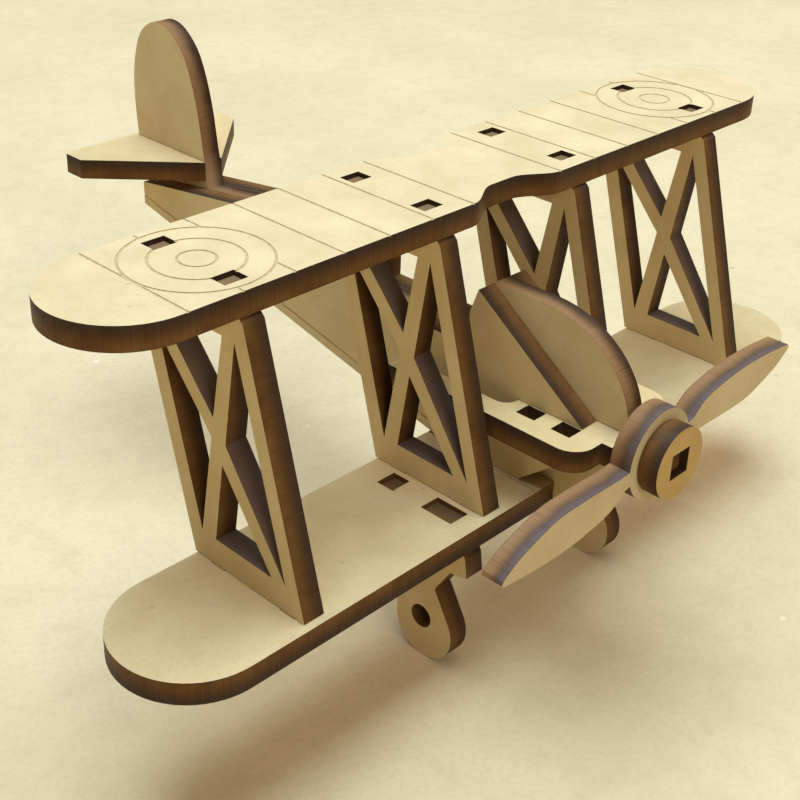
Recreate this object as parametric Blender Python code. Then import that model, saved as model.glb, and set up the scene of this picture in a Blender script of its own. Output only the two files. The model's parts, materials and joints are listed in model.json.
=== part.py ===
"""Slot-together biplane cut from 3 mm sheet: two wings on four braced struts, a fuselage of three
plates side by side, a fin and tailplane, two fixed undercarriage plates and a propeller that spins
on a square tongue.

Every piece is a flat plate. Its outline is drawn in millimetres in the aircraft's own frame: X across
the span, Y towards the tail, Z up, with the origin on the upper wing's top face, halfway along its
chord. MM turns the outlines into metres. The aircraft stands level on its wheels.
"""

from math import cos, pi, radians, sin

import bpy
from mathutils import Vector

MM = 0.001
SHEET = 3.0  # thickness of every plate
FIT = 0.1  # clearance left on each side of a slotted or stacked joint
RECESS = 0.6  # how far a tab's end stays below the face that it reaches through to

# Wings
UPPER_HALF_SPAN = 61.6
UPPER_HALF_CHORD = 9.5
LOWER_HALF_SPAN = 62.9
LOWER_HALF_CHORD = 9.85
WAIST_OUT = 8.3  # where the upper wing's narrow middle starts and stops, from the centre
WAIST_FLAT = 2.0
WAIST_DEPTH = 2.75
WING_DROP = 37.35  # from the upper wing's top face to the lower wing's
STAGGER = -10.5  # the lower wing's place relative to the upper one; it sits ahead
TIP_STEPS = 28

# Struts
STRUT_X = {"starboard_outer": -43.1, "starboard_inner": -12.9, "port_inner": 12.9, "port_outer": 43.1}
TAB_REACH = 6.0  # from a wing's centre line to the middle of each strut tab
TAB_LENGTH = 2.25

# Fuselage
SIDE_X = SHEET + FIT  # centre plane of each side plate
DECK_Z = -27.3  # mid-height of the engine deck, which is also the propeller's axis
DECK_SLOT_END = -15.65
SEAT_Z = -21.5
COCKPIT_FRONT = -6.8
COCKPIT_REAR = 14.2
SPINE_SLOPE = -0.136
SPINE_START = -12.7  # height of the spine just behind the cockpit
KEEL_SLOPE = 0.2233
KEEL_START = -2.5  # where the keel leaves the lower wing and starts to rise
SIDE_END = 62.0
WINDSCREEN_TOP = (-8.0, -13.1)
COWL_START = -16.0
NOSE_FRONT = -30.4
CHIN_STEPS = 12
CHIN_SLOT_END = -14.5

# Tail
TAILPLANE_Z = -14.9  # mid-height
TAIL_SLOT_START = 58.0
TAIL_END = 66.8
TAILPLANE_REAR = 67.6

# Propeller, its tongue and the disc that keeps it on
PROP_FRONT = -34.3
HUB_RADIUS = 6.1
HUB_HOLE = 2.25
TONGUE_WIDTH = 3.0
TONGUE_END = -36.2
RETAINER_FRONT = -37.2
RETAINER_BACK = -34.6
RETAINER_RADIUS = 4.8

# Undercarriage
GEAR_X = 16.9
GEAR_TABS = ((-14.95, 4.9), (-6.05, 2.6))  # middle and length of each tab that enters the lower wing
WHEEL = (-13.8, -55.4)
WHEEL_RADIUS = 4.8
WHEEL_HOLE = 1.7
WHEEL_HOLE_AT = (-13.3, -54.1)

WOOD = (0.60, 0.44, 0.25)
ROUGHNESS = 0.72

FLAT = (0.0, 0.0, 0.0)  # outline in X and Y
UPRIGHT_SIDE = (pi / 2, 0.0, pi / 2)  # outline in Y and Z
UPRIGHT_FRONT = (pi / 2, 0.0, 0.0)  # outline in X and Z


def arc(centre, radius, start, end, steps, squash=1.0):
    """Points on an arc, angles in degrees; squash scales the second coordinate, for an ellipse."""
    points = []
    for i in range(steps + 1):
        angle = radians(start + (end - start) * i / steps)
        points.append((centre[0] + radius * cos(angle), centre[1] + radius * squash * sin(angle)))
    return points


def box(u, v, width, height):
    """A rectangle about its middle."""
    return [
        (u - width / 2, v - height / 2),
        (u + width / 2, v - height / 2),
        (u + width / 2, v + height / 2),
        (u - width / 2, v + height / 2),
    ]


def smooth(points, steps):
    """A Catmull-Rom curve through the points."""
    curve = []
    padded = [points[0]] + list(points) + [points[-1]]
    for a, b, c, d in zip(padded, padded[1:], padded[2:], padded[3:]):
        for i in range(steps):
            t = i / steps
            curve.append(
                tuple(
                    0.5
                    * (
                        2 * b[k]
                        + (c[k] - a[k]) * t
                        + (2 * a[k] - 5 * b[k] + 4 * c[k] - d[k]) * t**2
                        + (3 * b[k] - a[k] - 3 * c[k] + d[k]) * t**3
                    )
                    for k in (0, 1)
                )
            )
    return curve + [points[-1]]


def mirrored(points):
    """The same outline on the other side of u = 0, walked the other way."""
    return [(-u, v) for u, v in reversed(points)]


def moved(points, du, dv):
    return [(u + du, v + dv) for u, v in points]


def wood(name):
    material = bpy.data.materials.new(name)
    material.use_nodes = True
    shader = material.node_tree.nodes["Principled BSDF"]
    shader.inputs["Base Color"].default_value = (*WOOD, 1.0)
    shader.inputs["Roughness"].default_value = ROUGHNESS
    shader.inputs["Metallic"].default_value = 0.0
    material.diffuse_color = (*WOOD, 1.0)
    return material


def plate(name, loops, facing, middle, origin=(0.0, 0.0), thickness=SHEET):
    """A flat plate from its outline and holes. middle is the place of its mid-plane along the
    facing's own axis, and origin is the point of the outline where the object's origin goes."""
    curve = bpy.data.curves.new(name, "CURVE")
    curve.dimensions = "2D"
    curve.fill_mode = "BOTH"
    curve.extrude = thickness / 2 * MM
    for loop in loops:
        spline = curve.splines.new("POLY")
        spline.points.add(len(loop) - 1)
        for point, (u, v) in zip(spline.points, moved(loop, -origin[0], -origin[1])):
            point.co = (u * MM, v * MM, 0.0, 1.0)
        spline.use_cyclic_u = True
    curve.materials.append(wood(name))
    obj = bpy.data.objects.new(name, curve)
    places = {
        FLAT: (origin[0], origin[1], middle),
        UPRIGHT_SIDE: (middle, origin[0], origin[1]),
        UPRIGHT_FRONT: (origin[0], middle, origin[1]),
    }
    obj.location = Vector(places[facing]) * MM
    obj.rotation_euler = facing
    obj.parent = aircraft
    parts.objects.link(obj)
    return obj


def wing_outline(half_span, half_chord, waist):
    """Straight edges and half-round tips, drawn in from both edges at the middle by waist."""
    tip = half_span - half_chord
    edge = []
    steps = 10
    for i in range(steps + 1):
        t = i / steps
        x = WAIST_OUT + (WAIST_FLAT - WAIST_OUT) * t
        edge.append((x, half_chord - waist * t * t * (3 - 2 * t)))
    rear = edge + mirrored(edge) if waist else []
    front = [(-x, -y) for x, y in rear]
    starboard_tip = arc((-tip, 0.0), half_chord, 90, 270, TIP_STEPS)
    port_tip = arc((tip, 0.0), half_chord, -90, 90, TIP_STEPS)
    return rear + starboard_tip + front + port_tip


def strut_slots():
    return [
        box(x, y, SHEET + 2 * FIT, TAB_LENGTH + 2 * FIT)
        for x in STRUT_X.values()
        for y in (-TAB_REACH, TAB_REACH)
    ]


def make_wings():
    upper = wing_outline(UPPER_HALF_SPAN, UPPER_HALF_CHORD, WAIST_DEPTH)
    plate("upper_wing", [upper] + strut_slots(), FLAT, -SHEET / 2)

    lower = wing_outline(LOWER_HALF_SPAN, LOWER_HALF_CHORD, 0.0)
    slot = SHEET / 2 + FIT
    slot_end = CHIN_SLOT_END - STAGGER + FIT
    front = -LOWER_HALF_CHORD
    chin_slot = [(-slot, front), (-slot, slot_end), (slot, slot_end), (slot, front)]
    half = TIP_STEPS + 1
    lower = lower[:half] + chin_slot + lower[half:]
    gear_slots = [
        box(x, y - STAGGER, SHEET + 2 * FIT, length + 2 * FIT)
        for x in (-GEAR_X, GEAR_X)
        for y, length in GEAR_TABS
    ]
    loops = [moved(loop, 0.0, STAGGER) for loop in [lower] + strut_slots() + gear_slots]
    plate("lower_wing", loops, FLAT, -WING_DROP - SHEET / 2)


def make_struts():
    """Four alike plates: a leaning frame crossed by an X, with two tabs into each wing."""
    top = -SHEET - FIT
    foot = -WING_DROP + FIT
    tab_top = -RECESS
    tab_foot = -WING_DROP - SHEET + RECESS
    half_tab = TAB_LENGTH / 2
    outline = [(-19.3, foot)]
    for y in (STAGGER - TAB_REACH, STAGGER + TAB_REACH):
        outline += [(y - half_tab, foot), (y - half_tab, tab_foot), (y + half_tab, tab_foot), (y + half_tab, foot)]
    outline += [(-0.35, foot), (9.3, top)]
    for y in (TAB_REACH, -TAB_REACH):
        outline += [(y + half_tab, top), (y + half_tab, tab_top), (y - half_tab, tab_top), (y - half_tab, top)]
    outline += [(-9.2, top), (-9.8, top - 0.6)]
    windows = [
        [(5.0, -9.7), (-4.0, -19.8), (-1.75, -33.6)],
        [(5.4, -6.2), (-6.3, -6.2), (-4.4, -17.15)],
        [(-8.35, -6.3), (-16.25, -33.8), (-6.4, -19.9)],
        [(-5.75, -22.75), (-13.9, -33.8), (-4.2, -33.65)],
    ]
    for where, x in STRUT_X.items():
        plate(f"strut_{where}", [outline] + windows, UPRIGHT_SIDE, x)


def spine(y):
    return SPINE_START + SPINE_SLOPE * (y - COCKPIT_REAR)


def keel(y):
    return -WING_DROP + FIT + KEEL_SLOPE * (y - KEEL_START)


def deck_slot():
    """The slot in each fuselage plate that the deck slides into, from its top edge round to its lower one."""
    top = DECK_Z + SHEET / 2 + FIT
    bottom = DECK_Z - SHEET / 2 - FIT
    return [(DECK_SLOT_END, top), (DECK_SLOT_END, bottom)]


def cockpit():
    """From the spine down into the cockpit and up to the foot of the windscreen."""
    return [
        (COCKPIT_REAR, spine(COCKPIT_REAR)),
        (COCKPIT_REAR, SEAT_Z),
        (COCKPIT_FRONT, SEAT_Z),
        (COCKPIT_FRONT, -16.6),
    ]


def make_side_plates():
    (_, slot_top), (_, slot_bottom) = deck_slot()
    foot = -WING_DROP + FIT
    outline = [WINDSCREEN_TOP, (-25.8, slot_top)]
    outline += deck_slot()
    outline += [(-27.0, slot_bottom), (-16.7, foot), (KEEL_START, foot)]
    outline += [(SIDE_END, keel(SIDE_END)), (SIDE_END, spine(SIDE_END))]
    outline += cockpit()
    for side, x in (("starboard", -SIDE_X), ("port", SIDE_X)):
        plate(f"fuselage_{side}_plate", [outline], UPRIGHT_SIDE, x)


def fin():
    """From the foot of the fin's front edge over its round top and down to the tailplane."""
    return smooth(
        [
            (49.5, spine(49.5)),
            (50.6, -12.0),
            (52.0, -4.6),
            (54.3, 1.7),
            (57.4, 5.0),
            (60.4, 6.0),
            (63.0, 5.3),
            (65.5, 2.9),
            (67.1, -2.0),
            (67.4, -7.3),
            (66.9, TAILPLANE_Z + SHEET / 2 + FIT),
        ],
        4,
    )


def make_centre_plate():
    """The middle plate runs from the chin to the fin and carries the cowl's curve."""
    (_, slot_top), (_, slot_bottom) = deck_slot()
    cowl_top = WINDSCREEN_TOP[1]
    cowl_length = COWL_START - NOSE_FRONT
    cowl = arc(
        (COWL_START, slot_top), cowl_length, 90, 180, 16, squash=(cowl_top - slot_top) / cowl_length
    )
    wing_under = -WING_DROP - SHEET
    nose_low = -31.5
    chin_back = STAGGER - LOWER_HALF_CHORD
    chin_length = chin_back - NOSE_FRONT
    chin = arc(
        (chin_back, nose_low), chin_length, 180, 270, CHIN_STEPS, squash=(nose_low - wing_under) / chin_length
    )
    tail_top = TAILPLANE_Z + SHEET / 2 + FIT
    tail_bottom = TAILPLANE_Z - SHEET / 2 - FIT
    foot = -WING_DROP + FIT

    outline = [WINDSCREEN_TOP]
    outline += cowl
    outline += deck_slot()
    outline += [(NOSE_FRONT, slot_bottom)]
    outline += chin
    outline += [(CHIN_SLOT_END, wing_under), (CHIN_SLOT_END, foot), (KEEL_START, foot)]
    outline += [(SIDE_END, keel(SIDE_END)), (TAIL_END, -19.0), (TAIL_END, tail_bottom)]
    outline += [(TAIL_SLOT_START, tail_bottom), (TAIL_SLOT_START, tail_top)]
    outline += list(reversed(fin()))
    outline += cockpit()
    plate("fuselage_centre_plate", [outline], UPRIGHT_SIDE, 0.0)


def make_deck():
    """A flat tray ahead of the cockpit, with a square tongue that carries the propeller."""
    shoulder = -29.3
    nose = -30.8
    corner = 3.2
    outer = 10.1
    inner = 6.9
    arm_end = 2.0
    opening = DECK_SLOT_END - FIT
    half_tongue = TONGUE_WIDTH / 2
    half = [(half_tongue, TONGUE_END), (half_tongue, nose), (5.2, nose), (5.2, shoulder)]
    half += arc((outer - corner, shoulder + corner), corner, -90, 0, 8)
    half += [(outer, arm_end), (inner, arm_end)]
    half += arc((inner - 2.0, opening + 2.0), 2.0, 0, -90, 6)
    ports = [box(x, y, 2.5, 2.9) for x in (-5.95, 5.95) for y in (-18.9, -24.4)]
    plate("engine_deck", [mirrored(half) + half] + ports, FLAT, DECK_Z)


def make_tailplane():
    """Swept plate whose front notch straddles the fin."""
    root = 50.1
    rear = TAILPLANE_REAR
    notch = SHEET / 2 + FIT
    tip = 15.1
    tip_front = 63.3
    slot_end = TAIL_SLOT_START + FIT
    half = [(notch, slot_end), (notch, root), (tip, tip_front), (tip, rear - 0.6), (tip - 0.6, rear)]
    plate("tailplane", [mirrored(half) + half], FLAT, TAILPLANE_Z)


def make_propeller():
    """Two swept blades alike under a half turn, on a round hub."""
    leading = smooth([(7.0, 2.4), (9.2, 4.0), (13.0, 4.9), (18.0, 5.4), (23.5, 5.3), (28.8, 4.8)], 4)
    tip = [(29.1, 4.5)]
    trailing = smooth([(28.9, 4.0), (26.6, 2.5), (23.2, 1.2), (19.6, 0.2), (15.0, 0.0), (8.0, 0.1)], 4)
    hub_top = 20.0  # degrees round the hub where the blade's upper edge leaves it
    hub_low = 0.0
    blade = leading + tip + trailing
    other = [(-u, -v) for u, v in blade]
    over = arc((0.0, 0.0), HUB_RADIUS, hub_low, hub_top - 180, 18)
    under = arc((0.0, 0.0), HUB_RADIUS, hub_low + 180, hub_top, 18)
    outline = blade + over + other + under
    hole = arc((0.0, 0.0), HUB_HOLE, 5, 350, 23)
    middle = PROP_FRONT + SHEET / 2
    centre = (0.0, DECK_Z)
    loops = [moved(outline, *centre), moved(hole, *centre)]
    plate("propeller", loops, UPRIGHT_FRONT, middle, origin=centre)


def make_retainer():
    """A disc pushed on to the tongue in front of the propeller."""
    rim = arc((0.0, 0.0), RETAINER_RADIUS, 0, 352.5, 47)
    hole = box(0.0, 0.0, TONGUE_WIDTH + 0.6, SHEET + 0.5)
    centre = (0.0, DECK_Z)
    loops = [moved(rim, *centre), moved(hole, *centre)]
    middle = (RETAINER_FRONT + RETAINER_BACK) / 2
    plate("propeller_retainer", loops, UPRIGHT_FRONT, middle, centre, RETAINER_BACK - RETAINER_FRONT)


def make_undercarriage():
    """Two fixed plates that hang from the lower wing, each with a wheel-shaped foot."""
    under = -WING_DROP - SHEET - FIT
    tab_top = -WING_DROP - RECESS
    outline = [(-19.6, under), (-20.1, -41.4), (-20.5, -44.2), (-17.8, -44.7), (-15.4, -48.6)]
    outline += arc(WHEEL, WHEEL_RADIUS, 150, 360, 35)
    outline += [(WHEEL[0] + WHEEL_RADIUS, -46.3)]
    outline += arc((WHEEL[0] + WHEEL_RADIUS + 2.0, -46.3), 2.0, 180, 90, 5)[1:]
    outline += [(-4.0, -44.3), (-4.0, under)]
    for y, length in reversed(GEAR_TABS):
        outline += [(y + length / 2, under), (y + length / 2, tab_top), (y - length / 2, tab_top), (y - length / 2, under)]
    hole = arc(WHEEL_HOLE_AT, WHEEL_HOLE, 0, 345, 23)
    for side, x in (("starboard", -GEAR_X), ("port", GEAR_X)):
        plate(f"undercarriage_{side}", [outline, hole], UPRIGHT_SIDE, x)


def stand_on_wheels():
    """Lifts the aircraft until its wheels touch z = 0, and puts its middle over the origin."""
    middle = (RETAINER_FRONT + TAILPLANE_REAR) / 2
    aircraft.location = Vector((0.0, -middle, WHEEL_RADIUS - WHEEL[1])) * MM


for old in list(bpy.data.objects):
    bpy.data.objects.remove(old, do_unlink=True)

parts = bpy.data.collections.new("biplane")
bpy.context.scene.collection.children.link(parts)
aircraft = bpy.data.objects.new("aircraft", None)
bpy.context.scene.collection.objects.link(aircraft)

make_wings()
make_struts()
make_side_plates()
make_centre_plate()
make_deck()
make_tailplane()
make_propeller()
make_retainer()
make_undercarriage()
stand_on_wheels()
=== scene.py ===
"""Looks of the slot-together model biplane: fibreboard plates with burnt edges and etched lines.

Sizes are in millimetres in the aircraft's own frame: ACROSS the span, AFT towards the tail and UP
out of the upper wing's top face, from the middle of that face. MM turns them into metres. Lamps
and noise are in metres: a noise's scale is how many of its features go into a metre. Colours are
linear.
"""

import json
from math import cos, pi, radians, sin, sqrt

import bmesh
import bpy
from mathutils import Matrix, Vector


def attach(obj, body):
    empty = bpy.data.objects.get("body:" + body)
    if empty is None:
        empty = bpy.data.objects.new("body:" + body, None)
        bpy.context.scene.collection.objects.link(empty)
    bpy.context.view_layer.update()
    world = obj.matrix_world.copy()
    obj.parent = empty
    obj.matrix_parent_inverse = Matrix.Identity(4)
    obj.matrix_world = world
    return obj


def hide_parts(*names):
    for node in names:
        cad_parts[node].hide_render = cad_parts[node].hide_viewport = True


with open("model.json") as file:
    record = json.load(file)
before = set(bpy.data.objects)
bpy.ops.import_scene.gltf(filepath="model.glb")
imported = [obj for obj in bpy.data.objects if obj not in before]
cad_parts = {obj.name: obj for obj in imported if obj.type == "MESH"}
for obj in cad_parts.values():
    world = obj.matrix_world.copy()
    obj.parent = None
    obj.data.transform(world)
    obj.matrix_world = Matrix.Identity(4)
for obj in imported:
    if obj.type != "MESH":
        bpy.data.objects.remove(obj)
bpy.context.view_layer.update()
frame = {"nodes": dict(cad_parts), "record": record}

MM = 0.001
RECORD = frame["record"]
MOUNTS = {mount["name"]: mount for mount in RECORD["mounts"]}
ORIGIN = Vector(MOUNTS["upper_wing_top"]["pos_m"])
ACROSS = Vector((1.0, 0.0, 0.0))
AFT = Vector((0.0, 1.0, 0.0))
UP = Vector((0.0, 0.0, 1.0))
PLACE = Matrix.Translation(ORIGIN)

BODY = {node: body for body, nodes in RECORD["behaviour"]["bodies"].items() for node in nodes}

# Etched lines: their section, and how far a cutter stands out of the face that it cuts
LINE_WIDTH = 0.34
LINE_DEPTH = 0.09
PROUD = 1.0

# Lines on the upper wing
HALF_CHORD = 9.5
ROUNDEL_X = 42.6
ROUNDEL_RADII = (8.5, 5.35, 2.15)
CIRCLE_STEPS = 96
FIRST_RIB = 8.35
RIB_PITCH = 7.15
RIBS = 7

# Lines on the lower wing, which run from its front edge along the fuselage
WING_DROP = 37.35
WING_FRONT = -20.35
SIDE_LINE_X = 5.07
SIDE_LINE_END = -11.5

# Lines on the side plates, which are at KEEL_HEIGHT under the middle of the upper wing's chord
SIDE_FACE = 4.6
KEEL_SLOPE = 0.2233
KEEL_HEIGHT = -35.4
KEEL_FROM = -6.0
KEEL_TO = 63.0

# Mesh cleaning and shading
WELD_DISTANCE = 0.0005 * MM
FLAT_ANGLE = radians(0.5)
SHARP_ANGLE = radians(32)
FACE_COSINE = 0.5

# Camera
EYE = Vector((-126.6, -108.59, 62.28))
AIM = Vector((-3.61, 6.13, -26.13))
ROLL = radians(2.2)
LENS = 62.45
SENSOR = 36.0
SHIFT_Y = -0.075
CLIP_START = 5.0

# The point that every lamp looks at
LIT_POINT = Vector((0.0, 0.0, 0.03))


# ---------------------------------------------------------------- node graphs


def add(tree, kind, inputs=None, **settings):
    """A new node with its settings, whose inputs are set to values or linked to sockets."""
    node = tree.nodes.new(kind)
    for key, value in settings.items():
        setattr(node, key, value)
    for key, value in (inputs or {}).items():
        if isinstance(value, bpy.types.NodeSocket):
            tree.links.new(value, node.inputs[key])
        else:
            node.inputs[key].default_value = value
    return node


def maths(tree, operation, a, b=0.0):
    return add(tree, "ShaderNodeMath", {0: a, 1: b}, operation=operation).outputs[0]


def dot(tree, a, b):
    node = add(tree, "ShaderNodeVectorMath", {0: a, 1: b}, operation="DOT_PRODUCT")
    return node.outputs["Value"]


def vector_sum(tree, a, b):
    return add(tree, "ShaderNodeVectorMath", {0: a, 1: b}, operation="ADD").outputs[0]


def difference(tree, a, b):
    return add(tree, "ShaderNodeVectorMath", {0: a, 1: b}, operation="SUBTRACT").outputs[0]


def scaled(tree, vector, factor):
    inputs = {0: vector, "Scale": factor}
    return add(tree, "ShaderNodeVectorMath", inputs, operation="SCALE").outputs[0]


def spread(tree, value, low, high, to_low=0.0, to_high=1.0, smooth=False):
    """value, from low to high, moved to the range to_low to to_high and kept inside it."""
    inputs = {"Value": value, "From Min": low, "From Max": high}
    inputs.update({"To Min": to_low, "To Max": to_high})
    kind = "SMOOTHSTEP" if smooth else "LINEAR"
    return add(tree, "ShaderNodeMapRange", inputs, interpolation_type=kind).outputs["Result"]


def noise(tree, place, scale, detail=3.0, roughness=0.55):
    inputs = {"Vector": place, "Scale": scale, "Detail": detail, "Roughness": roughness}
    return add(tree, "ShaderNodeTexNoise", inputs).outputs[0]


def mix(tree, factor, a, b, blend="MIX"):
    """Colour a, turning to b as factor goes from 0 to 1. The node's inputs 6 and 7 and its output 2
    are its colours."""
    inputs = {"Factor": factor, 6: a, 7: b}
    return add(tree, "ShaderNodeMix", inputs, data_type="RGBA", blend_type=blend).outputs[2]


def mix_value(tree, factor, a, b):
    """Number a, turning to b as factor goes from 0 to 1. The node's inputs 2 and 3 and its output 0
    are its numbers."""
    inputs = {"Factor": factor, 2: a, 3: b}
    return add(tree, "ShaderNodeMix", inputs, data_type="FLOAT").outputs[0]


def specks(tree, place, scale, radii, channel, choice, strength):
    """Round spots of that strength, which fade out between the two radii. They are in the few cells
    whose random colour has enough of one channel: none below the first choice, and at full strength
    above the second."""
    cells = add(tree, "ShaderNodeTexVoronoi", {"Vector": place, "Scale": scale})
    near = spread(tree, cells.outputs["Distance"], *radii, 1.0, 0.0, smooth=True)
    chosen = spread(tree, dot(tree, cells.outputs["Color"], channel), *choice)
    return maths(tree, "MULTIPLY", maths(tree, "MULTIPLY", near, chosen), strength)


def relief(tree, height, strength):
    """The normal of a surface roughened by that height."""
    inputs = {"Height": height, "Strength": strength, "Distance": RELIEF_DEPTH}
    return add(tree, "ShaderNodeBump", inputs).outputs[0]


def rgb(r, g, b):
    return (r, g, b, 1.0)


def new_material(name):
    material = bpy.data.materials.new(name)
    material.use_nodes = True
    return material, material.node_tree, material.node_tree.nodes["Principled BSDF"]


# ---------------------------------------------------------------- fibreboard

# A range is where, on a pattern or a direction that goes from 0 to 1, a colour starts and ends
# coming in. A strength is how much of it there is at the end.

FACE_PALE = rgb(0.665, 0.505, 0.305)
FACE_DEEP = rgb(0.595, 0.440, 0.250)
FIBRE_DARK = rgb(0.34, 0.225, 0.105)

CLOUD_SCALE = 130.0
CLOUD_RANGE = (0.36, 0.66)
GRAIN_SCALE = 2600.0
GRAIN_RANGE = (0.50, 0.75)
GRAIN_STRENGTH = 0.16
# How far each layer of fibres is turned, in radians, and its scale along each axis
FIBRE_LAYERS = ((0.5, (300.0, 3600.0, 3600.0)), (1.9, (3600.0, 300.0, 3600.0)))
FIBRE_RANGE = (0.63, 0.80)
FIBRE_STRENGTH = 0.13
SPECK_SCALE = 330.0
SPECK_RADII = (0.05, 0.13)
SPECK_CHOICE = (0.80, 0.95)
SPECK_STRENGTH = 0.45

CHAR_DARK = rgb(0.034, 0.015, 0.006)
CHAR_BROWN = rgb(0.108, 0.044, 0.012)
CHAR_GOLD = rgb(0.180, 0.084, 0.024)
CHAR_GLOW = rgb(0.330, 0.175, 0.085)
# Painted sheen: a grey on the dark side of a cut edge that stands for reflected light
CHAR_PAINTED_SHEEN = rgb(0.122, 0.082, 0.080)
# Painted sheen: a grey on cut edges that slope up, standing for reflected light
CHAR_PAINTED_UP_SHEEN = rgb(0.150, 0.112, 0.104)
# Painted highlight: a paler char for the level ends of the tabs
CHAR_PAINTED_TAB_LIGHT = rgb(0.215, 0.128, 0.064)

DRAG_SCALE = 5200.0
DRAG_FLATTENING = 0.96
DRAG_DARK_RANGE = (0.45, 0.70)
DRAG_DARK_STRENGTH = 0.25
DRAG_GOLD_RANGE = (0.50, 0.28)
DRAG_GOLD_STRENGTH = 0.12
PATCH_SCALE = 240.0
PATCH_RANGE = (0.35, 0.70)
WANDER_RANGE = (0.3, 0.7)
WANDER = 0.10
BURNT_RANGE = (0.15, 0.95)
# Where the painted sheen on the dark side of a cut edge comes in
PAINTED_SHEEN_RANGE = (0.45, 0.90)
RIM_RANGE = (0.455, 0.5)
RIM_STRENGTH = 0.35

# How squarely a surface faces along the plate's normal, where it turns from face to edge, and how
# squarely it faces up, where the painted sheen on edges that slope up comes in and where the end of
# a tab is level
EDGE_RANGE = (0.80, 0.60)
SLOPE_RANGE = (0.36, 0.72)
LEVEL_RANGE = (0.90, 0.98)

# Below the plate's top, the painted sheen on edges that slope up is whole at the first distance and
# gone at the second, a little under the upper wing. From the top or the foot, the painted highlight
# on a tab's end starts at the first distance and is whole at the second.
PAINTED_UP_SHEEN_STOP = (4.5 * MM, 4.0 * MM)
TAB_END = (0.6 * MM, 0.4 * MM)

ROUGHNESS_RANGE = (0.3, 0.7)
FACE_ROUGHNESS = (0.62, 0.78)
EDGE_ROUGHNESS = (0.45, 0.62)
RELIEF_DEPTH = 0.05 * MM
BOARD_RELIEF = 0.35
BOARD_SPECULAR = 0.12

ETCHED_DARK = rgb(0.44, 0.31, 0.16)
ETCHED_PALE = rgb(0.55, 0.41, 0.23)
ETCHED_SCALE = 1800.0
ETCHED_RANGE = (0.35, 0.65)
ETCHED_RELIEF = 0.4
ETCHED_ROUGHNESS = 0.8
ETCHED_SPECULAR = 0.3


def face_colour(tree, place):
    """Pressed fibre: soft clouds, a fine grain, two layers of short fibres and a few darker specks.
    Gives the colour and the grain."""
    clouds = noise(tree, place, CLOUD_SCALE, detail=4.0)
    colour = mix(tree, spread(tree, clouds, *CLOUD_RANGE), FACE_DEEP, FACE_PALE)
    grain = noise(tree, place, GRAIN_SCALE, detail=2.0, roughness=0.7)
    grainy = spread(tree, grain, *GRAIN_RANGE, 0.0, GRAIN_STRENGTH)
    colour = mix(tree, grainy, colour, FIBRE_DARK)
    for turn, stretch in FIBRE_LAYERS:
        inputs = {"Vector": place, "Rotation": (turn, turn / 2, turn), "Scale": stretch}
        turned = add(tree, "ShaderNodeMapping", inputs).outputs[0]
        fibres = noise(tree, turned, 1.0, detail=1.0)
        fibrous = spread(tree, fibres, *FIBRE_RANGE, 0.0, FIBRE_STRENGTH)
        colour = mix(tree, fibrous, colour, FIBRE_DARK)
    red = (1.0, 0.0, 0.0)
    dark = specks(tree, place, SPECK_SCALE, SPECK_RADII, red, SPECK_CHOICE, SPECK_STRENGTH)
    return mix(tree, dark, colour, FIBRE_DARK), grain


def char_colour(tree, place, across, depth, dark_side, painted_sheen, glow):
    """A laser-cut edge: dark on the side where the beam came in, turning golden brown towards the
    other, with fine drag lines through the thickness. across is the plate's normal, and depth goes
    from 0 to 1 along it. dark_side is 1 where the beam came in at depth 1, and -1 where it came in
    at 0. ash is how much grey painted sheen, standing for reflected light, lies on the dark side,
    and glow turns the brown side paler. Gives the colour and the drag lines."""
    through = dot(tree, place, across)
    squeezed = scaled(tree, scaled(tree, across, through), DRAG_FLATTENING)
    streaked = difference(tree, place, squeezed)
    drag = noise(tree, streaked, DRAG_SCALE, detail=2.0, roughness=0.6)
    patches = noise(tree, place, PATCH_SCALE)
    toward_dark = depth if dark_side > 0 else maths(tree, "SUBTRACT", 1.0, depth)
    level = maths(tree, "ADD", toward_dark, spread(tree, patches, *WANDER_RANGE, -WANDER, WANDER))
    burnt = spread(tree, level, *BURNT_RANGE, smooth=True)
    # Painted sheen: grey on the dark side of the edge, standing for reflected light
    painted_sheen_mask = spread(tree, level, *PAINTED_SHEEN_RANGE, 0.0, painted_sheen, smooth=True)
    brown = mix(tree, spread(tree, patches, *PATCH_RANGE), CHAR_BROWN, CHAR_GOLD)
    brown = mix(tree, glow, brown, CHAR_GLOW)
    colour = mix(tree, burnt, brown, CHAR_DARK)
    colour = mix(tree, painted_sheen_mask, colour, CHAR_PAINTED_SHEEN)
    dark_lines = spread(tree, drag, *DRAG_DARK_RANGE, 0.0, DRAG_DARK_STRENGTH)
    colour = mix(tree, dark_lines, colour, CHAR_DARK)
    gold_lines = spread(tree, drag, *DRAG_GOLD_RANGE, 0.0, DRAG_GOLD_STRENGTH)
    colour = mix(tree, gold_lines, colour, CHAR_GOLD)
    off_middle = maths(tree, "ABSOLUTE", maths(tree, "SUBTRACT", depth, 0.5))
    rim = spread(tree, off_middle, *RIM_RANGE, 0.0, RIM_STRENGTH)
    return mix(tree, rim, colour, CHAR_DARK), drag


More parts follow.
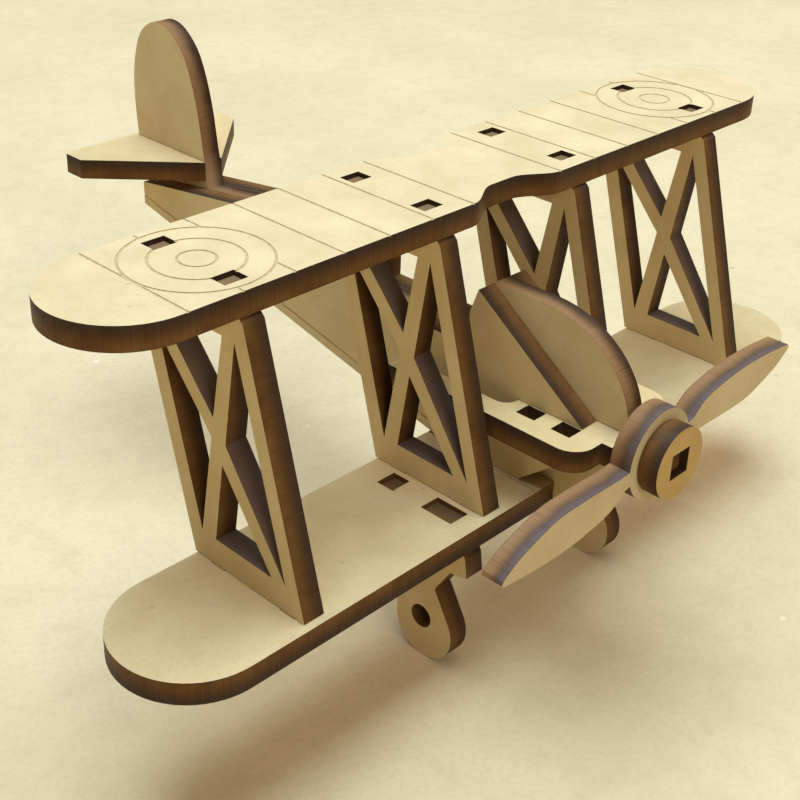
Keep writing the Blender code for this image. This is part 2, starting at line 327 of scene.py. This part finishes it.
def board_material(name, mesh, across, dark_side, tone, painted_sheen, glow, painted_up_sheen, painted_tab_light):
    """Fibreboard for one plate: pale where a surface faces along the plate's normal, across, and
    charred where it doesn't. tone tints the faces, and dark_side, ash and glow are char_colour's.
    smoke is how much grey painted sheen, standing for reflected light, lies on the edges that slope
    up, and worn is how much painted highlight lightens the char on the level ends of the tabs at
    the plate's top and foot."""
    depths = [vertex.co.dot(across) for vertex in mesh.vertices]
    heights = [vertex.co.dot(UP) for vertex in mesh.vertices]
    top, foot = max(heights), min(heights)
    material, tree, shader = new_material(name)
    coords = add(tree, "ShaderNodeTexCoord")
    place, normal = coords.outputs["Object"], coords.outputs["Normal"]
    depth = spread(tree, dot(tree, place, across), min(depths), max(depths))
    facing = maths(tree, "ABSOLUTE", dot(tree, normal, across))
    on_edge = spread(tree, facing, *EDGE_RANGE)
    face, grain = face_colour(tree, place)
    face = mix(tree, 1.0, face, rgb(*tone), "MULTIPLY")
    edge, drag = char_colour(tree, place, across, depth, dark_side, painted_sheen, glow)

    rise = dot(tree, normal, UP)
    height = dot(tree, place, UP)
    # Painted sheen on edges that slope up, kept off the part of the plate inside the upper wing
    below_wing = spread(tree, height, top - PAINTED_UP_SHEEN_STOP[0], top - PAINTED_UP_SHEEN_STOP[1], 1.0, 0.0)
    painted_up_sheen_mask = spread(tree, rise, *SLOPE_RANGE, 0.0, painted_up_sheen, smooth=True)
    edge = mix(tree, maths(tree, "MULTIPLY", painted_up_sheen_mask, below_wing), edge, CHAR_PAINTED_UP_SHEEN)
    # Painted highlight on the level ends of the tabs at the plate's top and foot
    at_top = spread(tree, height, top - TAB_END[0], top - TAB_END[1])
    at_foot = spread(tree, height, foot + TAB_END[0], foot + TAB_END[1])
    flat = spread(tree, maths(tree, "ABSOLUTE", rise), *LEVEL_RANGE, 0.0, painted_tab_light)
    tab_end = maths(tree, "MULTIPLY", flat, maths(tree, "MAXIMUM", at_top, at_foot))
    edge = mix(tree, tab_end, edge, CHAR_PAINTED_TAB_LIGHT)

    face_rough = spread(tree, grain, *ROUGHNESS_RANGE, *FACE_ROUGHNESS)
    edge_rough = spread(tree, drag, *ROUGHNESS_RANGE, *EDGE_ROUGHNESS)
    rough = mix_value(tree, on_edge, face_rough, edge_rough)
    bumps = relief(tree, mix_value(tree, on_edge, grain, drag), BOARD_RELIEF)
    tree.links.new(mix(tree, on_edge, face, edge), shader.inputs["Base Color"])
    tree.links.new(rough, shader.inputs["Roughness"])
    tree.links.new(bumps, shader.inputs["Normal"])
    shader.inputs["Specular IOR Level"].default_value = BOARD_SPECULAR
    return material


def etched_material():
    """The lightly scorched floor and sides of an etched line."""
    material, tree, shader = new_material("etched_line")
    place = add(tree, "ShaderNodeTexCoord").outputs["Object"]
    speckle = noise(tree, place, ETCHED_SCALE)
    colour = mix(tree, spread(tree, speckle, *ETCHED_RANGE), ETCHED_DARK, ETCHED_PALE)
    tree.links.new(colour, shader.inputs["Base Color"])
    tree.links.new(relief(tree, speckle, ETCHED_RELIEF), shader.inputs["Normal"])
    shader.inputs["Roughness"].default_value = ETCHED_ROUGHNESS
    shader.inputs["Specular IOR Level"].default_value = ETCHED_SPECULAR
    return material


etched = etched_material()


# ---------------------------------------------------------------- meshes


def placed(name, data):
    """A new object in the scene for that mesh, curve, lamp or camera."""
    thing = bpy.data.objects.new(name, data)
    bpy.context.scene.collection.objects.link(thing)
    return thing


def evaluated_mesh(thing):
    """A new mesh of what the object shows, with its modifiers applied or its curve filled."""
    bpy.context.view_layer.update()
    graph = bpy.context.evaluated_depsgraph_get()
    return bpy.data.meshes.new_from_object(thing.evaluated_get(graph))


def weld(mesh, dissolve=False):
    """Joins vertices that lie on each other, and with dissolve also faces that lie in one plane."""
    shape = bmesh.new()
    shape.from_mesh(mesh)
    bmesh.ops.remove_doubles(shape, verts=shape.verts, dist=WELD_DISTANCE)
    if dissolve:
        bmesh.ops.dissolve_limit(
            shape, angle_limit=FLAT_ANGLE, verts=shape.verts, edges=shape.edges
        )
    shape.to_mesh(mesh)
    shape.free()


def flat_solid(name, loops, low, high, turn=None):
    """A closed prism over the outlines, from low to high. The outlines are drawn in ACROSS and AFT
    and the prism stands UP, unless turn sets it another way."""
    curve = bpy.data.curves.new(name, "CURVE")
    curve.dimensions = "2D"
    curve.fill_mode = "BOTH"
    curve.extrude = (high - low) / 2 * MM
    for loop in loops:
        spline = curve.splines.new("POLY")
        spline.points.add(len(loop) - 1)
        for point, (u, v) in zip(spline.points, loop):
            point.co = (u * MM, v * MM, 0.0, 1.0)
        spline.use_cyclic_u = True
    drawn = placed(name, curve)
    mesh = evaluated_mesh(drawn)
    bpy.data.objects.remove(drawn)
    mesh.transform(Matrix.Translation((0.0, 0.0, (low + high) / 2 * MM)))
    mesh.transform(PLACE @ (turn or Matrix.Identity(4)))
    weld(mesh)
    return placed(name, mesh)


def circle(x, y, radius):
    angles = [2 * pi * i / CIRCLE_STEPS for i in range(CIRCLE_STEPS)]
    return [(x + radius * cos(angle), y + radius * sin(angle)) for angle in angles]


def strip(x, start, end):
    """A line's outline, from start to end along AFT."""
    left, right = x - LINE_WIDTH / 2, x + LINE_WIDTH / 2
    return [(left, start), (right, start), (right, end), (left, end)]


def wing_lines():
    """Cutters for the upper wing's rib lines, and for the roundels that break them."""
    rings = []
    ribs = []
    reach = HALF_CHORD + PROUD
    for side in (-1, 1):
        for radius in ROUNDEL_RADII:
            rings.append(circle(side * ROUNDEL_X, 0.0, radius + LINE_WIDTH / 2))
            rings.append(circle(side * ROUNDEL_X, 0.0, radius - LINE_WIDTH / 2))
        for i in range(RIBS):
            x = FIRST_RIB + i * RIB_PITCH
            off = abs(x - ROUNDEL_X)
            if off < ROUNDEL_RADII[0]:
                stop = sqrt(ROUNDEL_RADII[0] ** 2 - off**2)
                ribs.append(strip(side * x, -reach, -stop))
                ribs.append(strip(side * x, stop, reach))
            else:
                ribs.append(strip(side * x, -reach, reach))
    drawings = (("roundels", rings), ("ribs", ribs))
    return [flat_solid(name, loops, -LINE_DEPTH, PROUD) for name, loops in drawings]


def lower_wing_lines():
    """Cutters for the short lines beside the fuselage's side plates."""
    start = WING_FRONT - PROUD
    lines = [strip(side * SIDE_LINE_X, start, SIDE_LINE_END) for side in (-1, 1)]
    return [flat_solid("side_lines", lines, -WING_DROP - LINE_DEPTH, -WING_DROP + PROUD)]


def side_line(side):
    """Cutter for the line that follows the keel along a side plate's outer face."""
    outline = ((KEEL_FROM, 0.0), (KEEL_TO, 0.0), (KEEL_TO, LINE_WIDTH), (KEEL_FROM, LINE_WIDTH))
    corners = [(y, KEEL_HEIGHT + KEEL_SLOPE * y + above) for y, above in outline]
    # Drawn in AFT and UP, and the prism stands along ACROSS
    upright = Matrix(((0.0, 0.0, 1.0), (1.0, 0.0, 0.0), (0.0, 1.0, 0.0))).to_4x4()
    inside, outside = sorted((side * (SIDE_FACE - LINE_DEPTH), side * (SIDE_FACE + PROUD)))
    return [flat_solid("keel_line", [corners], inside, outside, upright)]


def engrave(piece, cutters):
    """Cuts the lines out of the piece, and gives the faces that this makes the etched material."""
    for cutter in cutters:
        cutter.data.materials.clear()
        cutter.data.materials.append(etched)
        cut = piece.modifiers.new("engrave", "BOOLEAN")
        cut.object = cutter
        cut.operation = "DIFFERENCE"
        cut.solver = "EXACT"
        cut.material_mode = "TRANSFER"
        mesh = evaluated_mesh(piece)
        piece.modifiers.clear()
        piece.data = mesh
        bpy.data.objects.remove(cutter)


def finished_board(
    node, across, tone, dark_side=1, painted_sheen=0.15, glow=0.0, painted_up_sheen=0.0, painted_tab_light=0.0, cutters=()
):
    """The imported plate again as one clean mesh, with its lines cut and its own fibreboard, smooth
    round the curves of its edge. The looks are board_material's."""
    mesh = frame["nodes"][node].data.copy()
    weld(mesh, dissolve=True)
    mesh.materials.clear()
    mesh.materials.append(
        board_material(f"{node}_board", mesh, across, dark_side, tone, painted_sheen, glow, painted_up_sheen, painted_tab_light)
    )
    piece = placed(f"{node}_finished", mesh)
    engrave(piece, cutters)
    piece.data.set_sharp_from_angle(angle=SHARP_ANGLE)
    for polygon in piece.data.polygons:
        polygon.use_smooth = abs(polygon.normal.dot(across)) < FACE_COSINE
    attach(piece, BODY[node])
    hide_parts(node)


finished_board("upper_wing", UP, tone=(1.0, 1.0, 1.02), cutters=wing_lines())
finished_board(
    "lower_wing", UP, tone=(1.0, 1.0, 0.97), dark_side=-1, cutters=lower_wing_lines()
)
finished_board("engine_deck", UP, tone=(0.97, 0.94, 0.86))
finished_board("tailplane", UP, tone=(0.95, 0.91, 0.84))
# The struts', side plates' and undercarriage's tones are partly painted shade: less blue, and
# darker on the undercarriage, to give their faces the warm dim look of the wings' shadow
for name in ("starboard_outer", "starboard_inner", "port_inner", "port_outer"):
    finished_board(f"strut_{name}", ACROSS, tone=(0.94, 0.93, 0.81), painted_up_sheen=0.8, painted_tab_light=0.9)
finished_board("fuselage_centre_plate", ACROSS, tone=(0.98, 0.99, 0.91), painted_sheen=0.08, glow=0.70)
for name, side in (("starboard", -1), ("port", 1)):
    finished_board(
        f"fuselage_{name}_plate", ACROSS, tone=(0.97, 0.96, 0.84), dark_side=-1, glow=0.15,
        cutters=side_line(side),
    )
for name in ("starboard", "port"):
    finished_board(f"undercarriage_{name}", ACROSS, tone=(0.88, 0.88, 0.79), painted_tab_light=0.4)
finished_board("propeller", AFT, tone=(0.96, 0.99, 0.99), dark_side=-1, painted_sheen=1.0, glow=0.75)
finished_board("propeller_retainer", AFT, tone=(0.81, 0.70, 0.46), dark_side=-1)


# ---------------------------------------------------------------- floor, light and camera

FLOOR_SIZE = 6.0
FLOOR_DEEP = rgb(0.615, 0.485, 0.310)
FLOOR_PALE = rgb(0.675, 0.530, 0.350)
FLOOR_MOTTLE = rgb(0.48, 0.36, 0.22)
FLOOR_FINE = rgb(0.44, 0.33, 0.20)
FLOOR_ROUGHNESS = 0.75
FLOOR_SPECULAR = 0.25

FLOOR_CLOUD_SCALE = 22.0
FLOOR_CLOUD_RANGE = (0.35, 0.65)
MOTTLE_SCALE = 210.0
MOTTLE_RANGE = (0.46, 0.72)
MOTTLE_STRENGTH = 0.28
FINE_SCALE = 1100.0
FINE_RANGE = (0.48, 0.75)
FINE_STRENGTH = 0.30

# Dark and pale specks: their scale, how far their cells are moved, and their colour
FLOOR_SPECKS = ((95.0, 0.0, rgb(0.34, 0.22, 0.12)), (120.0, 3.0, rgb(0.86, 0.76, 0.60)))
FLOOR_SPECK_RADII = (0.03, 0.085)
FLOOR_SPECK_CHOICE = (0.82, 0.95)
FLOOR_SPECK_STRENGTH = 0.5

ROOM_COLOUR = rgb(1.0, 0.86, 0.54)
ROOM_STRENGTH = 0.19


def make_floor():
    """A plain pale board under the aircraft: soft clouds, a mottle, a fine grain and specks."""
    material, tree, shader = new_material("floor")
    place = add(tree, "ShaderNodeTexCoord").outputs["Object"]
    clouds = noise(tree, place, FLOOR_CLOUD_SCALE, detail=4.0)
    colour = mix(tree, spread(tree, clouds, *FLOOR_CLOUD_RANGE), FLOOR_DEEP, FLOOR_PALE)
    mottle = noise(tree, place, MOTTLE_SCALE, detail=4.0, roughness=0.6)
    mottled = spread(tree, mottle, *MOTTLE_RANGE, 0.0, MOTTLE_STRENGTH)
    colour = mix(tree, mottled, colour, FLOOR_MOTTLE)
    fine = noise(tree, place, FINE_SCALE, roughness=0.65)
    colour = mix(tree, spread(tree, fine, *FINE_RANGE, 0.0, FINE_STRENGTH), colour, FLOOR_FINE)
    green = (0.0, 1.0, 0.0)
    for scale, move, tint in FLOOR_SPECKS:
        moved = vector_sum(tree, place, (move, move, 0.0))
        spots = specks(
            tree, moved, scale, FLOOR_SPECK_RADII, green, FLOOR_SPECK_CHOICE, FLOOR_SPECK_STRENGTH
        )
        colour = mix(tree, spots, colour, tint)
    tree.links.new(colour, shader.inputs["Base Color"])
    shader.inputs["Roughness"].default_value = FLOOR_ROUGHNESS
    shader.inputs["Specular IOR Level"].default_value = FLOOR_SPECULAR
    bpy.ops.mesh.primitive_plane_add(size=FLOOR_SIZE)
    floor = bpy.context.object
    floor.name = "floor"
    floor.data.materials.append(material)


def area_light(name, direction, distance, size, energy, colour):
    """A disk in that direction from LIT_POINT, which it faces. Distance and size are in metres, and
    energy is in watts."""
    light = bpy.data.lights.new(name, "AREA")
    light.shape = "DISK"
    light.size = size
    light.energy = energy
    light.color = colour
    away = Vector(direction).normalized()
    lamp = placed(name, light)
    lamp.location = away * distance + LIT_POINT
    lamp.rotation_euler = away.to_track_quat("Z", "Y").to_euler()


def make_world():
    """The dim warm light of the room, from all round."""
    world = bpy.data.worlds.new("room")
    bpy.context.scene.world = world
    world.use_nodes = True
    background = world.node_tree.nodes["Background"]
    background.inputs["Color"].default_value = ROOM_COLOUR
    background.inputs["Strength"].default_value = ROOM_STRENGTH


def make_camera():
    """The photograph's view: from EYE to AIM, turned by ROLL about that line."""
    data = bpy.data.cameras.new("camera")
    data.sensor_width = SENSOR
    data.lens = LENS
    data.shift_y = SHIFT_Y
    data.clip_start = CLIP_START * MM
    ahead = (AIM - EYE).normalized()
    level = ahead.cross(UP).normalized()
    above = level.cross(ahead)
    right = cos(ROLL) * level + sin(ROLL) * above
    turn = Matrix((right, right.cross(ahead), -ahead)).transposed()
    camera = placed("camera", data)
    camera.matrix_world = PLACE @ Matrix.Translation(EYE * MM) @ turn.to_4x4()
    bpy.context.scene.camera = camera


make_floor()
make_world()
area_light(
    "ceiling", direction=(0.04, 0.16, 1.10), distance=1.1, size=0.95, energy=19.6,
    colour=(0.70, 0.90, 1.0),
)
area_light(
    "front", direction=(-0.30, -0.85, 0.65), distance=1.1, size=0.5, energy=3.6,
    colour=(1.0, 0.93, 0.78),
)
area_light(
    "right", direction=(0.90, 0.0, 0.50), distance=1.0, size=0.5, energy=2.2,
    colour=(1.0, 0.93, 0.80),
)
area_light(
    "window", direction=(-0.5, 1.6, 0.7), distance=1.7, size=1.2, energy=6.0,
    colour=(0.85, 0.92, 1.0),
)
make_camera()
bpy.context.scene.view_settings.view_transform = "Standard"
